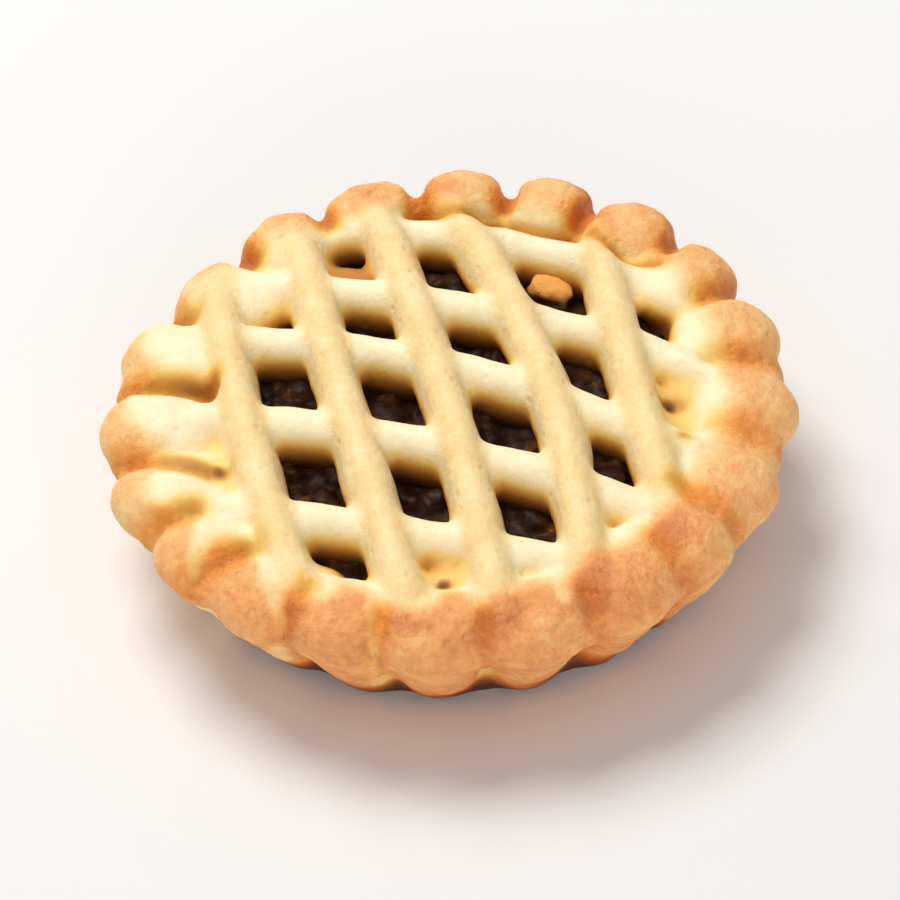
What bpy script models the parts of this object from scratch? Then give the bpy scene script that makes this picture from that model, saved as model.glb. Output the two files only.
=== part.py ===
"""A lattice-topped mince pie: pastry case, fruit filling and lattice lid.

Metres, +Z up. The origin is the middle of the flat base, and -Y is the near side.
"""

import math
import random

import bmesh
import bpy
from mathutils import Matrix

MM = 0.001
SEED = 24

# Touching pieces stay this far apart.
GAP = 0.3 * MM

# The rim is a ring of thumb-like lobes, counted anticlockwise from the far side.
# They drift a little off their even pitch, and the rim is pressed in on one side.
LOBE_COUNT = 20
LOBE_PITCH = 2 * math.pi / LOBE_COUNT
FIRST_LOBE = math.radians(85)
LOBE_DRIFT = math.radians(2)
LOBE_DRIFT_WAVES = 4
LOBE_DRIFT_AT = math.radians(54)
DENT = 1.9 * MM
DENT_AT = math.radians(135)
DENT_SPREAD = math.radians(28)
LOBE_CENTRE_RADIUS = 32.2 * MM
LOBE_CENTRE_Z = 13.9 * MM
LOBE_LONG = 9.8 * MM
LOBE_WIDE = 11.2 * MM
LOBE_TALL = 7.4 * MM
LOBE_SPREAD = 0.05
LOBE_SIDES = 12
LOBE_RINGS = 8

# The case is a fluted cup. The lid rests on its top edge, the seat.
BASE_RADIUS = 28.4 * MM
BASE_EDGE = 2.0 * MM
WALL = 3.6 * MM
FLOOR = 3.5 * MM
SEAT_Z = 12.6 * MM
SEAT_OUTER = 34.9 * MM
SEAT_INNER = 28.2 * MM
FLUTE_AT_SEAT = 1.4 * MM
FLUTE_AT_BASE = 0.7 * MM
STEPS_PER_LOBE = 6

# The border is the flat ring of the lid under the lobes, broader at both sides.
BORDER_INNER = 28.3 * MM
BORDER_BROADER = 2.3 * MM
BORDER_OUTER = 33.6 * MM
BORDER_TOP = 16.5 * MM
BORDER_CORNER = 1.6 * MM
BORDER_STEPS = 80

# Five upper strands run away from the near side and lean to the left.
# Five lower strands run under them, falling to the right and drooping at the ends.
# Each strand has a place at the pie's middle, a slope, and a bow in 1/m.
STRAND_WIDE = 5.8 * MM
STRAND_TALL = 4.6 * MM
STRAND_SIDES = 10
STRAND_STEP = 3.2 * MM
STRAND_END_SIZE = 0.8
UPPER_Z = 17.3 * MM
UPPER = [
    (-21.9 * MM, 0.155, 2.0),
    (-11.0 * MM, 0.175, 0.7),
    (-0.4 * MM, 0.175, -1.1),
    (10.6 * MM, 0.195, -3.7),
    (19.6 * MM, 0.130, 1.5),
]
LOWER_Z = 16.3 * MM
LOWER = [
    (26.0 * MM, 0.27, 6.7),
    (13.9 * MM, 0.32, 1.7),
    (4.0 * MM, 0.43, 6.0),
    (-8.6 * MM, 0.40, 3.9),
    (-21.5 * MM, 0.31, 0.0),
]

# The lattice is a shallow dome whose strand ends sink into the border.
FIELD_RADIUS = 27.5 * MM
FIELD_DROP = 1.4 * MM
SINK_FROM = 26.5 * MM
SINK = 0.9 * MM
STRAND_REACH = 31.5 * MM

# Fruit: a low mound, with a plump raisin showing in each hole of the lattice.
FRUIT_EDGE_Z = 12.2 * MM
FRUIT_MOUND = 1.3 * MM
FRUIT_STEPS = 60
RAISIN_LONG = 5.0 * MM
RAISIN_WIDE = 3.4 * MM
RAISIN_TALL = 3.4 * MM
RAISIN_SPREAD = 0.12
RAISIN_ROOM = 2.6 * MM
RAISIN_FIELD = 24.0 * MM
RAISIN_SIDES = 8
RAISIN_RINGS = 6

# Below the seat: the block that trims the underside of the lid flat.
TRIM_SIZE = 100 * MM
TRIM_DEPTH = 20 * MM

CRUST = (0.78, 0.42, 0.15, 1.0)
PALE_CRUST = (0.88, 0.68, 0.36, 1.0)
FRUIT = (0.045, 0.020, 0.012, 1.0)


def clear_scene():
    """Start from an empty scene."""
    for obj in list(bpy.data.objects):
        bpy.data.objects.remove(obj, do_unlink=True)


def new_collection(name):
    """A collection linked to the scene."""
    collection = bpy.data.collections.new(name)
    bpy.context.scene.collection.children.link(collection)
    return collection


def add_object(name, data, collection):
    """An object that holds the given data, in the given collection."""
    obj = bpy.data.objects.new(name, data)
    collection.objects.link(obj)
    return obj


def give_material(obj, name, colour, roughness):
    """The object's only material, a plain Principled BSDF."""
    material = bpy.data.materials.new(name)
    material.use_nodes = True
    shader = material.node_tree.nodes["Principled BSDF"]
    shader.inputs["Base Color"].default_value = colour
    shader.inputs["Roughness"].default_value = roughness
    shader.inputs["Metallic"].default_value = 0.0
    obj.data.materials.clear()
    obj.data.materials.append(material)


def bake(obj):
    """Replace the object's mesh by its shape with the modifiers applied."""
    graph = bpy.context.evaluated_depsgraph_get()
    mesh = bpy.data.meshes.new_from_object(obj.evaluated_get(graph))
    obj.modifiers.clear()
    obj.data = mesh


def tidy(mesh, merge=0.01 * MM):
    """Weld doubles, drop slivers and point the faces outwards."""
    bm = bmesh.new()
    bm.from_mesh(mesh)
    bmesh.ops.remove_doubles(bm, verts=bm.verts, dist=merge)
    bmesh.ops.dissolve_degenerate(bm, edges=bm.edges, dist=merge)
    bmesh.ops.recalc_face_normals(bm, faces=bm.faces)
    bm.to_mesh(mesh)
    bm.free()


def turned(name, profile, closed, steps, collection):
    """A profile of (radius, z) points turned round the Z axis."""
    mesh = bpy.data.meshes.new(name)
    points = [(radius, 0.0, z) for radius, z in profile]
    edges = [(i, i + 1) for i in range(len(points) - 1)]
    if closed:
        edges.append((len(points) - 1, 0))
    mesh.from_pydata(points, edges, [])
    obj = add_object(name, mesh, collection)
    screw = obj.modifiers.new("turn", "SCREW")
    screw.steps = steps
    screw.render_steps = steps
    screw.use_merge_vertices = True
    screw.merge_threshold = 0.01 * MM
    bake(obj)
    tidy(obj.data)
    return obj


def arc(centre, radius, start, end, count):
    """Points of a rounded corner in a profile, from one angle in degrees to another."""
    points = []
    for i in range(count + 1):
        angle = math.radians(start + (end - start) * i / count)
        points.append((centre[0] + radius * math.cos(angle), centre[1] + radius * math.sin(angle)))
    return points


def ball(name, size, centre, turn, sides, rings, collection):
    """A stretched ball with its long way along the direction turn."""
    mesh = bpy.data.meshes.new(name)
    bm = bmesh.new()
    bmesh.ops.create_uvsphere(bm, u_segments=sides, v_segments=rings, radius=0.5)
    shape = Matrix.LocRotScale(centre, Matrix.Rotation(turn, 3, "Z"), size)
    bmesh.ops.transform(bm, matrix=shape, verts=bm.verts)
    bm.to_mesh(mesh)
    bm.free()
    return add_object(name, mesh, collection)


def join(obj, pieces):
    """Fuse every object of a collection into obj, then drop the collection."""
    union = obj.modifiers.new("join", "BOOLEAN")
    union.operation = "UNION"
    union.operand_type = "COLLECTION"
    union.collection = pieces
    union.solver = "EXACT"
    bake(obj)
    for piece in list(pieces.objects):
        bpy.data.objects.remove(piece, do_unlink=True)
    bpy.data.collections.remove(pieces)
    tidy(obj.data)


def lobe_angle(index):
    """Direction of one lobe: an even pitch with a slow drift round the rim."""
    even = FIRST_LOBE + index * LOBE_PITCH
    return even + LOBE_DRIFT * math.cos(LOBE_DRIFT_WAVES * (even - LOBE_DRIFT_AT))


def dent(turn):
    """How far the rim is pressed in, in one direction."""
    away = (turn - DENT_AT + math.pi) % (2 * math.pi) - math.pi
    return DENT * math.exp(-((away / DENT_SPREAD) ** 2))


def flute(obj):
    """Press the outside of the case into flutes that match the lobes above."""
    for vertex in obj.data.vertices:
        x, y, z = vertex.co
        radius = math.hypot(x, y)
        if radius < MM:
            continue
        step = round(math.atan2(y, x) / LOBE_PITCH * STEPS_PER_LOBE)
        index = step // STEPS_PER_LOBE
        part = step / STEPS_PER_LOBE - index
        start = lobe_angle(index)
        angle = start + part * (lobe_angle(index + 1) - start)
        height = z / SEAT_Z
        outside = BASE_RADIUS + (SEAT_OUTER - BASE_RADIUS) * height
        if radius > outside - WALL / 2:
            depth = FLUTE_AT_BASE + (FLUTE_AT_SEAT - FLUTE_AT_BASE) * height
            radius += depth * (2 * abs(math.cos(math.pi * part)) - 1) - dent(angle) * height
        vertex.co.x = radius * math.cos(angle)
        vertex.co.y = radius * math.sin(angle)


def make_case(collection):
    """The cup of pastry: a flat base, a sloping fluted wall and a seat for the lid."""
    profile = [(0.0, FLOOR), (BASE_RADIUS - WALL, FLOOR)]
    profile += [(SEAT_INNER, SEAT_Z), (SEAT_OUTER, SEAT_Z)]
    for part in (0.75, 0.5, 0.25):
        radius = BASE_RADIUS + (SEAT_OUTER - BASE_RADIUS) * part
        profile.append((radius, SEAT_Z * part))
    profile += arc((BASE_RADIUS - BASE_EDGE, BASE_EDGE), BASE_EDGE, -20, -90, 3)
    profile.append((0.0, 0.0))
    case = turned("pastry_case", profile, False, LOBE_COUNT * STEPS_PER_LOBE, collection)
    flute(case)
    give_material(case, "baked_pastry", CRUST, 0.65)
    return case


def upper_point(strand, y):
    """Where the middle of an upper strand runs, for a distance y from the X axis."""
    place, slope, bow = strand
    return place - slope * y + bow * y**2, y


def lower_point(strand, x):
    """Where the middle of a lower strand runs, for a distance x from the Y axis."""
    place, slope, bow = strand
    return x, place - slope * x - bow * x**2


def dome(radius):
    """How far the lattice lies below its middle, at a radius."""
    sink = SINK * (max(0.0, radius - SINK_FROM) / (STRAND_REACH - SINK_FROM)) ** 2
    return FIELD_DROP * (radius / FIELD_RADIUS) ** 2 + sink


def reach(route, strand, direction):
    """How far along its route a strand goes before it meets the border."""
    step = 0.1 * MM
    along = 0.0
    while math.hypot(*route(strand, along + direction * step)) < STRAND_REACH:
        along += direction * step
    return along


def make_section(collection):
    """The flat oval section that every strand is drawn with."""
    curve = bpy.data.curves.new("strand_section", "CURVE")
    spline = curve.splines.new("POLY")
    spline.points.add(STRAND_SIDES - 1)
    for i, point in enumerate(spline.points):
        angle = 2 * math.pi * i / STRAND_SIDES
        x = STRAND_WIDE / 2 * math.cos(angle)
        y = STRAND_TALL / 2 * math.sin(angle)
        point.co = (x, y, 0.0, 1.0)
    spline.use_cyclic_u = True
    section = add_object("strand_section", curve, collection)
    section.hide_render = True
    section.display_type = "WIRE"
    return section


def make_strand(name, route, strand, height, section, collection):
    """One soft strand of dough, laid along its route over the dome."""
    start = reach(route, strand, -1)
    end = reach(route, strand, 1)
    count = round((end - start) / STRAND_STEP)
    curve = bpy.data.curves.new(name, "CURVE")
    curve.dimensions = "3D"
    curve.twist_mode = "Z_UP"
    curve.bevel_mode = "OBJECT"
    curve.bevel_object = section
    curve.use_fill_caps = True
    spline = curve.splines.new("POLY")
    spline.points.add(count)
    for i, point in enumerate(spline.points):
        x, y = route(strand, start + (end - start) * i / count)
        point.co = (x, y, height - dome(math.hypot(x, y)), 1.0)
        point.radius = STRAND_END_SIZE if i in (0, count) else 1.0
    rope = add_object(name, curve, collection)
    graph = bpy.context.evaluated_depsgraph_get()
    mesh = bpy.data.meshes.new_from_object(rope.evaluated_get(graph))
    bpy.data.objects.remove(rope, do_unlink=True)
    tidy(mesh)
    return add_object(name, mesh, collection)


def make_lid(collection):
    """The lid: a flat border, twenty lobes and ten strands fused into one piece."""
    rng = random.Random(SEED)
    corner = BORDER_CORNER
    low = SEAT_Z - corner
    profile = arc((BORDER_INNER + corner, BORDER_TOP - corner), corner, 180, 90, 3)
    profile += arc((BORDER_OUTER - corner, BORDER_TOP - corner), corner, 90, 0, 3)
    profile += [(BORDER_OUTER, low), (BORDER_INNER, low)]
    lid = turned("lattice_lid", profile, True, BORDER_STEPS, collection)
    for vertex in lid.data.vertices:
        radius = math.hypot(vertex.co.x, vertex.co.y)
        inward = (BORDER_OUTER - radius) / (BORDER_OUTER - BORDER_INNER)
        sideways = (vertex.co.x / radius) ** 2
        shrink = 1 - BORDER_BROADER * inward * sideways / radius
        vertex.co.x *= shrink
        vertex.co.y *= shrink

    pieces = new_collection("lid_pieces")
    for index in range(LOBE_COUNT):
        turn = lobe_angle(index)
        radius = LOBE_CENTRE_RADIUS - dent(turn)
        x = radius * math.cos(turn)
        y = radius * math.sin(turn)
        wide = LOBE_WIDE * rng.uniform(1 - LOBE_SPREAD, 1 + LOBE_SPREAD)
        tall = LOBE_TALL * rng.uniform(1 - LOBE_SPREAD, 1 + LOBE_SPREAD)
        size = (LOBE_LONG, wide, tall)
        centre = (x, y, LOBE_CENTRE_Z)
        ball(f"lobe_{index:02d}", size, centre, turn, LOBE_SIDES, LOBE_RINGS, pieces)
    section = make_section(collection)
    for index, strand in enumerate(UPPER):
        make_strand(f"upper_{index}", upper_point, strand, UPPER_Z, section, pieces)
    for index, strand in enumerate(LOWER):
        make_strand(f"lower_{index}", lower_point, strand, LOWER_Z, section, pieces)
    bpy.data.objects.remove(section, do_unlink=True)
    join(lid, pieces)

    cutters = new_collection("cutters")
    mesh = bpy.data.meshes.new("underside_trim")
    bm = bmesh.new()
    bmesh.ops.create_cube(bm, size=1.0)
    centre = (0.0, 0.0, SEAT_Z + GAP - TRIM_DEPTH / 2)
    shape = Matrix.LocRotScale(centre, None, (TRIM_SIZE, TRIM_SIZE, TRIM_DEPTH))
    bmesh.ops.transform(bm, matrix=shape, verts=bm.verts)
    bm.to_mesh(mesh)
    bm.free()
    trim = add_object("underside_trim", mesh, cutters)
    trim.hide_render = True
    trim.display_type = "WIRE"
    cut = lid.modifiers.new("flat_underside", "BOOLEAN")
    cut.operation = "DIFFERENCE"
    cut.object = trim
    cut.solver = "EXACT"
    bake(lid)
    tidy(lid.data)
    give_material(lid, "lattice_pastry", PALE_CRUST, 0.6)
    return lid


def neighbours(strands):
    """Pairs of strands that lie side by side, with a pair beyond each end."""
    before = (2 * strands[0][0] - strands[1][0], *strands[0][1:])
    after = (2 * strands[-1][0] - strands[-2][0], *strands[-1][1:])
    row = [before, *strands, after]
    return list(zip(row, row[1:]))


def holes():
    """The middle of each hole in the lattice, and the room between its strands."""
    found = []
    for left, right in neighbours(UPPER):
        for far, near in neighbours(LOWER):
            x, y = left[0], far[0]
            for _ in range(8):
                y = (lower_point(far, x)[1] + lower_point(near, x)[1]) / 2
                x = (upper_point(left, y)[0] + upper_point(right, y)[0]) / 2
            across = upper_point(right, y)[0] - upper_point(left, y)[0]
            along = lower_point(far, x)[1] - lower_point(near, x)[1]
            room = min(across, along) - STRAND_WIDE
            if math.hypot(x, y) < RAISIN_FIELD and room > RAISIN_ROOM:
                found.append((x, y, room))
    return found


def make_fruit(collection):
    """The filling: a low mound that fills the case, with raisins in the holes."""
    rng = random.Random(SEED)
    top_radius = SEAT_INNER - GAP
    low_radius = BASE_RADIUS - WALL - GAP
    profile = []
    for part in (0.0, 0.25, 0.5, 0.75, 1.0):
        profile.append((top_radius * part, FRUIT_EDGE_Z + FRUIT_MOUND * (1 - part**2)))
    profile += [(low_radius, FLOOR + GAP), (0.0, FLOOR + GAP)]
    fruit = turned("fruit_mince", profile, False, FRUIT_STEPS, collection)

    raisins = new_collection("raisins")
    for index, (x, y, room) in enumerate(holes()):
        part = math.hypot(x, y) / top_radius
        z = FRUIT_EDGE_Z + FRUIT_MOUND * (1 - part**2)
        scale = rng.uniform(1 - RAISIN_SPREAD, 1 + RAISIN_SPREAD)
        size = (min(RAISIN_LONG * scale, room), min(RAISIN_WIDE * scale, room), RAISIN_TALL)
        turn = rng.uniform(0.0, math.pi)
        ball(f"raisin_{index:02d}", size, (x, y, z), turn, RAISIN_SIDES, RAISIN_RINGS, raisins)
    join(fruit, raisins)
    give_material(fruit, "dark_fruit", FRUIT, 0.35)
    return fruit


def shade(obj):
    """Smooth shading with the true corners kept sharp."""
    obj.data.shade_smooth()
    obj.data.set_sharp_from_angle(angle=math.radians(40))


def main():
    clear_scene()
    pie = new_collection("mince_pie")
    for obj in (make_case(pie), make_lid(pie), make_fruit(pie)):
        shade(obj)


main()
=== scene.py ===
"""The looks of a small lattice-topped mince pie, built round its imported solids."""

import math
import random

import bpy
import numpy as np
from mathutils import Matrix, Vector, noise


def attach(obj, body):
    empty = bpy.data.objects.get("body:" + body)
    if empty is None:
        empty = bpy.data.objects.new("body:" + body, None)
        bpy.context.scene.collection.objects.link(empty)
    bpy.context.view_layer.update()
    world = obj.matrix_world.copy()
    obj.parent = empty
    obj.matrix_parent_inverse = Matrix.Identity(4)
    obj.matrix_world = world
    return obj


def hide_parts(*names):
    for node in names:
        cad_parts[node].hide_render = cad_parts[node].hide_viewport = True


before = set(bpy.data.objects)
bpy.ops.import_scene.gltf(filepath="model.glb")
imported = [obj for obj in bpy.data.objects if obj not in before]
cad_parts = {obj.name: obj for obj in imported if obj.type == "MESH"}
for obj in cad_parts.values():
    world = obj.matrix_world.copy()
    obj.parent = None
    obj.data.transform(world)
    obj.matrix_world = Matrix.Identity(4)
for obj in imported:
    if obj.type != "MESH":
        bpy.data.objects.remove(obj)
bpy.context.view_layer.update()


# Crust: shortcrust pressed into a fluted mould, with a lattice of soft rolls laid over it and
# pinched to the rim in thumb lobes. A rib, lobes of each kind, rolls and low patches are drawn,
# melt together as one skin in the oven, and are parted again where the lid was laid on the case.
MM = 0.001
# The rim is pressed in at one place: how far, in which direction, and how widely.
DENT = 1.5 * MM
DENT_AT = math.radians(135)
DENT_SPREAD = math.radians(28)
# Lobes: length, width and height, and height of the middle. The far ones are round thumbs, those
# at the sides are long ridges, and the near ones are broad.
LOBE_SHAPES = {
    "far": (9.6 * MM, 11.6 * MM, 8.6 * MM, 13.4 * MM),
    "left": (13.6 * MM, 12.0 * MM, 8.2 * MM, 13.3 * MM),
    "right": (12.4 * MM, 12.0 * MM, 8.2 * MM, 13.3 * MM),
    "near": (10.4 * MM, 14.0 * MM, 7.9 * MM, 13.2 * MM),
}
LOBE_TIP = 37.1 * MM
LOBE_SEGMENTS = 24
LOBE_SEGMENT_RINGS = 16
# How far a lobe sinks or rises, in millimetres.
LOBE_UNEVEN = (-0.35, 0.15)
# Each lobe: direction of its tip and how far it slants from straight outwards, in degrees, and
# its shape.
LOBES = [
    (84.8, 0, "far"),
    (102.8, 0, "far"),
    (121.6, 0, "far"),
    (140.4, 0, "left"),
    (160.4, -3, "left"),
    (179.2, -10, "left"),
    (195.5, -18, "left"),
    (214.0, -12, "near"),
    (231.0, -4, "near"),
    (248.5, 0, "near"),
    (265.0, 0, "near"),
    (283.5, 0, "near"),
    (301.5, 0, "near"),
    (317.5, 0, "near"),
    (334.5, 0, "right"),
    (355.5, 2, "right"),
    (16.0, 4, "right"),
    (35.3, 10, "right"),
    (52.0, 14, "far"),
    (68.0, 3, "far"),
]
# Low dough that joins the lobes at their foot: directions, length, width, height, height of the
# middle, and distance of the tips.
JOINS = (170.0, 187.2, 205.5, 222, 240, 256.5, 274, 292.5, 309.5, 326, 344.8, 5.8)
JOIN_SIZE = (11.0 * MM, 9.0 * MM, 6.4 * MM, 12.6 * MM)
JOIN_TIP = 36.3 * MM
# Creases between the lobes: direction of the outer and of the inner end, distance of the inner
# end, depth, half width, and how dark the painted shade at the inner end is.
CREASE_START = 37.2 * MM
CREASES = [
    (93.3, 93.3, 29.5 * MM, 1.0 * MM, 1.0 * MM, 0.5),
    (112.5, 112.8, 30.0 * MM, 1.0 * MM, 1.0 * MM, 0.55),
    (131.0, 131.5, 30.5 * MM, 0.9 * MM, 1.1 * MM, 0.6),
    (150.5, 152.0, 31.0 * MM, 0.9 * MM, 1.1 * MM, 0.6),
    (171.3, 173.5, 25.3 * MM, 1.3 * MM, 1.0 * MM, 0.75),
    (188.0, 201.5, 27.0 * MM, 1.0 * MM, 1.0 * MM, 0.62),
    (206.5, 211.0, 31.0 * MM, 0.9 * MM, 1.0 * MM, 0.5),
    (221.0, 226.0, 30.5 * MM, 1.0 * MM, 1.2 * MM, 0.5),
    (240.0, 241.0, 32.0 * MM, 0.6 * MM, 0.9 * MM, 0.35),
    (256.0, 256.0, 33.5 * MM, 0.6 * MM, 0.8 * MM, 0.3),
    (274.0, 274.0, 33.5 * MM, 0.6 * MM, 0.8 * MM, 0.3),
    (293.0, 293.0, 33.0 * MM, 0.6 * MM, 0.8 * MM, 0.3),
    (310.0, 310.0, 31.5 * MM, 0.6 * MM, 0.9 * MM, 0.3),
    (324.0, 324.0, 28.5 * MM, 0.7 * MM, 1.0 * MM, 0.4),
    (344.5, 346.0, 28.5 * MM, 0.8 * MM, 1.1 * MM, 0.25),
    (5.5, 6.0, 28.5 * MM, 0.8 * MM, 1.1 * MM, 0.28),
    (25.5, 24.0, 30.5 * MM, 0.8 * MM, 1.1 * MM, 0.3),
    (43.5, 39.0, 32.0 * MM, 0.9 * MM, 1.0 * MM, 0.55),
    (59.3, 59.2, 30.0 * MM, 1.1 * MM, 1.0 * MM, 0.55),
    (76.0, 75.5, 30.5 * MM, 1.1 * MM, 1.0 * MM, 0.55),
]
# Creases get painted shade on the side that faces forwards, down the flank of the lobe behind,
# where shade falls. The painted shade is full over the last part of their length, and weaker at
# the outer end.
CREASE_SHADE_BACK = 0.8 * MM
CREASE_SHADE_SPREAD = 1.5
CREASE_SHADE_SPAN = (0.2, 0.9)
OUTER_SHADE = 0.35
# The groove between the far roll and the thumbs: directions and distances along it.
GROOVES = [
    [(94.0, 29.0 * MM), (86.0, 27.8 * MM), (80.5, 28.0 * MM)],
    [(73.0, 27.6 * MM), (66.0, 27.1 * MM), (59.5, 27.4 * MM)],
    [(54.0, 28.6 * MM), (47.0, 27.6 * MM), (42.0, 28.2 * MM), (37.5, 29.6 * MM)],
]
GROOVE_DEPTH = 0.8 * MM
GROOVE_HALF = 0.9 * MM
# How dark the painted shade along the groove is, and its half width.
GROOVE_SHADE = 0.5
GROOVE_SHADE_HALF = 1.1 * MM
# The depth of a full press. Creases and grooves reach their whole depth over these heights, and
# a crease keeps a share of it on the wall below.
CREASE_DEPTH = 2.0 * MM
CREASED_HEIGHTS = (12.0 * MM, 14.5 * MM)
WALL_CREASE = 0.25
# Each ring of a rib: height, middle's distance from the axis, half its depth, half its width.
RIB_RINGS = [
    (-0.8 * MM, 24.2 * MM, 3.8 * MM, 4.3 * MM),
    (0.6 * MM, 24.9 * MM, 4.5 * MM, 4.7 * MM),
    (3.5 * MM, 26.6 * MM, 4.8 * MM, 4.9 * MM),
    (7.0 * MM, 28.9 * MM, 5.0 * MM, 5.2 * MM),
    (10.0 * MM, 30.8 * MM, 5.0 * MM, 5.3 * MM),
    (12.6 * MM, 31.8 * MM, 5.0 * MM, 5.4 * MM),
    (14.2 * MM, 31.6 * MM, 4.5 * MM, 5.0 * MM),
]
# Points round the ovals that ribs, rolls and rings are drawn from.
OVAL_POINTS = 20
# The plain cup behind the ribs, with a tapered hole for the fruit. Its top is the face whose
# normal points up at least this far.
CUP_POINTS = 120
CUP_BASE_RADIUS = 27.5 * MM
CUP_TOP_RADIUS = 34.0 * MM
CUP_TOP = 13.2 * MM
CUP_START = -0.8 * MM
CUP_HOLE_RADIUS = 28.6 * MM
CUP_HOLE_FLOOR = 3.5 * MM
CUP_HOLE_TAPER = 0.86
FACES_UP = 0.9
# The upper rolls: where each crosses the X axis, its slope and its bow.
UPPER_Z = 16.7 * MM
UPPER = [
    (-21.9 * MM, 0.155, 2.0),
    (-11.0 * MM, 0.175, 0.7),
    (-0.4 * MM, 0.175, -1.1),
    (10.6 * MM, 0.195, -3.7),
    (19.6 * MM, 0.130, 1.5),
]
# The lower rolls: where each crosses the Y axis, its slope, its bow, and how much its right end
# bends forwards beyond the bend's start.
LOWER_Z = 15.2 * MM
LOWER = [
    (26.0 * MM, 0.27, 6.7, 0.0),
    (13.9 * MM, 0.32, 1.7, 7.0),
    (4.0 * MM, 0.43, 6.0, 0.0),
    (-8.6 * MM, 0.40, 3.9, 0.0),
    (-21.5 * MM, 0.31, 0.0, 0.0),
]
BEND_START = 10.0 * MM
# Width and height of a roll. It is narrower above its middle, sags outwards below, and swells
# and thins a little along its length.
UPPER_SIZE = (4.7 * MM, 5.8 * MM)
LOWER_SIZE = (5.0 * MM, 6.4 * MM)
TOP_NARROWING = 0.1
FOOT_SPREAD = 0.75
SWELL = 0.04
SWELL_PER_STEP = 2.4
SWELL_BY_X = 500
SWELL_BY_Y = 900
STRAND_REACH = 32.8 * MM
STRAND_STEPS = 18
STRAND_END_SIZE = 0.75
# How much broader each roll gets over its last stretch, one pair for each: the near end and the
# far end of an upper roll, the left end and the right end of a lower one.
FLARE_LENGTH = 8.0 * MM
UPPER_FLARES = [(1.3, 0.85)] * 5
LOWER_FLARES = [(1.4, 1.45), (1.5, 1.45), (1.6, 1.45), (1.55, 1.45), (1.15, 1.3)]
# The lattice is domed: how far it drops at a radius, and how far the rolls' ends sink further.
FIELD_RADIUS = 27.5 * MM
FIELD_DROP = 1.4 * MM
SINK_FROM = 26.5 * MM
UPPER_SINK = 1.1 * MM
LOWER_SINK = 0.2 * MM
# Rings of dough under the lobes: radius, breadth across the pie, half width, half height, height,
# and how far they lie towards the near side.
RINGS = [
    (31.0 * MM, 1.0, 2.9 * MM, 2.0 * MM, 12.0 * MM, 0.4 * MM),
    (31.0 * MM, 0.90, 3.4 * MM, 1.6 * MM, 11.8 * MM, 0.4 * MM),
]
RING_STEPS = 96
# Banks of dough pressed up in front and on the right: radius, half width, half height, height,
# direction of the middle, and distance of the cut that ends them.
BANKS = [
    (31.3 * MM, 4.1 * MM, 3.7 * MM, 13.3 * MM, math.radians(-93), 15.0 * MM),
    (29.8 * MM, 4.2 * MM, 3.0 * MM, 13.3 * MM, math.radians(-18), 24.0 * MM),
]
# Low dough that sags between the outer rolls and the rim: place, length, width, direction in
# degrees, and height of its middle.
LOW_DOUGH = [
    (-0.4 * MM, -26.0 * MM, 8.4 * MM, 6.0 * MM, 0, 13.5 * MM),
    (-7.8 * MM, -26.6 * MM, 5.0 * MM, 4.0 * MM, -10, 13.4 * MM),
    (17.3 * MM, -21.8 * MM, 4.6 * MM, 3.4 * MM, 40, 14.6 * MM),
    (16.5 * MM, -19.3 * MM, 3.8 * MM, 3.2 * MM, 0, 12.6 * MM),
    (25.0 * MM, -5.0 * MM, 6.0 * MM, 5.0 * MM, 20, 13.6 * MM),
    (24.6 * MM, -0.6 * MM, 7.0 * MM, 4.2 * MM, 0, 13.6 * MM),
    (-28.8 * MM, -12.6 * MM, 8.4 * MM, 6.0 * MM, -10, 15.9 * MM),
    (-25.6 * MM, -6.4 * MM, 7.6 * MM, 5.4 * MM, -15, 13.6 * MM),
    (-27.0 * MM, 4.6 * MM, 8.0 * MM, 5.0 * MM, 0, 14.1 * MM),
    (-9.8 * MM, 21.6 * MM, 9.0 * MM, 4.6 * MM, -15, 12.8 * MM),
]
LOW_DOUGH_TALL = 3.4 * MM
# Dark spots of painted shade, where shade falls between the rolls: place, radius, and how dark.
SHADE_SPOTS = [
    (-1.5 * MM, -27.0 * MM, 1.0 * MM, 1.0),
    (-28.3 * MM, -15.9 * MM, 0.7 * MM, 0.5),
    (23.3 * MM, -2.6 * MM, 1.2 * MM, 1.0),
    (24.4 * MM, -9.3 * MM, 0.9 * MM, 0.5),
    (-24.2 * MM, -9.1 * MM, 1.3 * MM, 0.85),
]
# Pale dough of the rolls' ends runs on over the rim: both ends, and half the width at each.
FLOWS = [
    [(-19.6 * MM, -22.1 * MM), (-18.4 * MM, -30.2 * MM)],
    [(-7.7 * MM, -26.7 * MM), (-9.0 * MM, -34.0 * MM)],
    [(3.4 * MM, -26.5 * MM), (2.0 * MM, -31.5 * MM)],
    [(10.2 * MM, -27.1 * MM), (10.5 * MM, -31.2 * MM)],
    [(-24.8 * MM, -16.5 * MM), (-27.0 * MM, -22.5 * MM)],
]
FLOW_WIDTHS = (1.9 * MM, 0.8 * MM)
CRUST_VOXEL = 0.42 * MM
MELT_ROUNDS = 6
LAST_MELT_ROUNDS = 1
# Where the lid lies on the case, and a height above all of the pie.
SEAM_Z = 12.75 * MM
CRUST_TOP = 25.0 * MM
SLAB_WIDE = 0.1
# The smallest share of a press that is carried out.
PRESS_LEAST = 0.01


def start_piece():
    """Leave nothing selected, so that the next operators act on the new piece alone."""
    if bpy.context.mode != "OBJECT":
        bpy.ops.object.mode_set(mode="OBJECT")
    bpy.ops.object.select_all(action="DESELECT")


def pick(obj):
    """Select one finished object and make it the active one."""
    start_piece()
    obj.select_set(True)
    bpy.context.view_layer.objects.active = obj
    return obj


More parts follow.
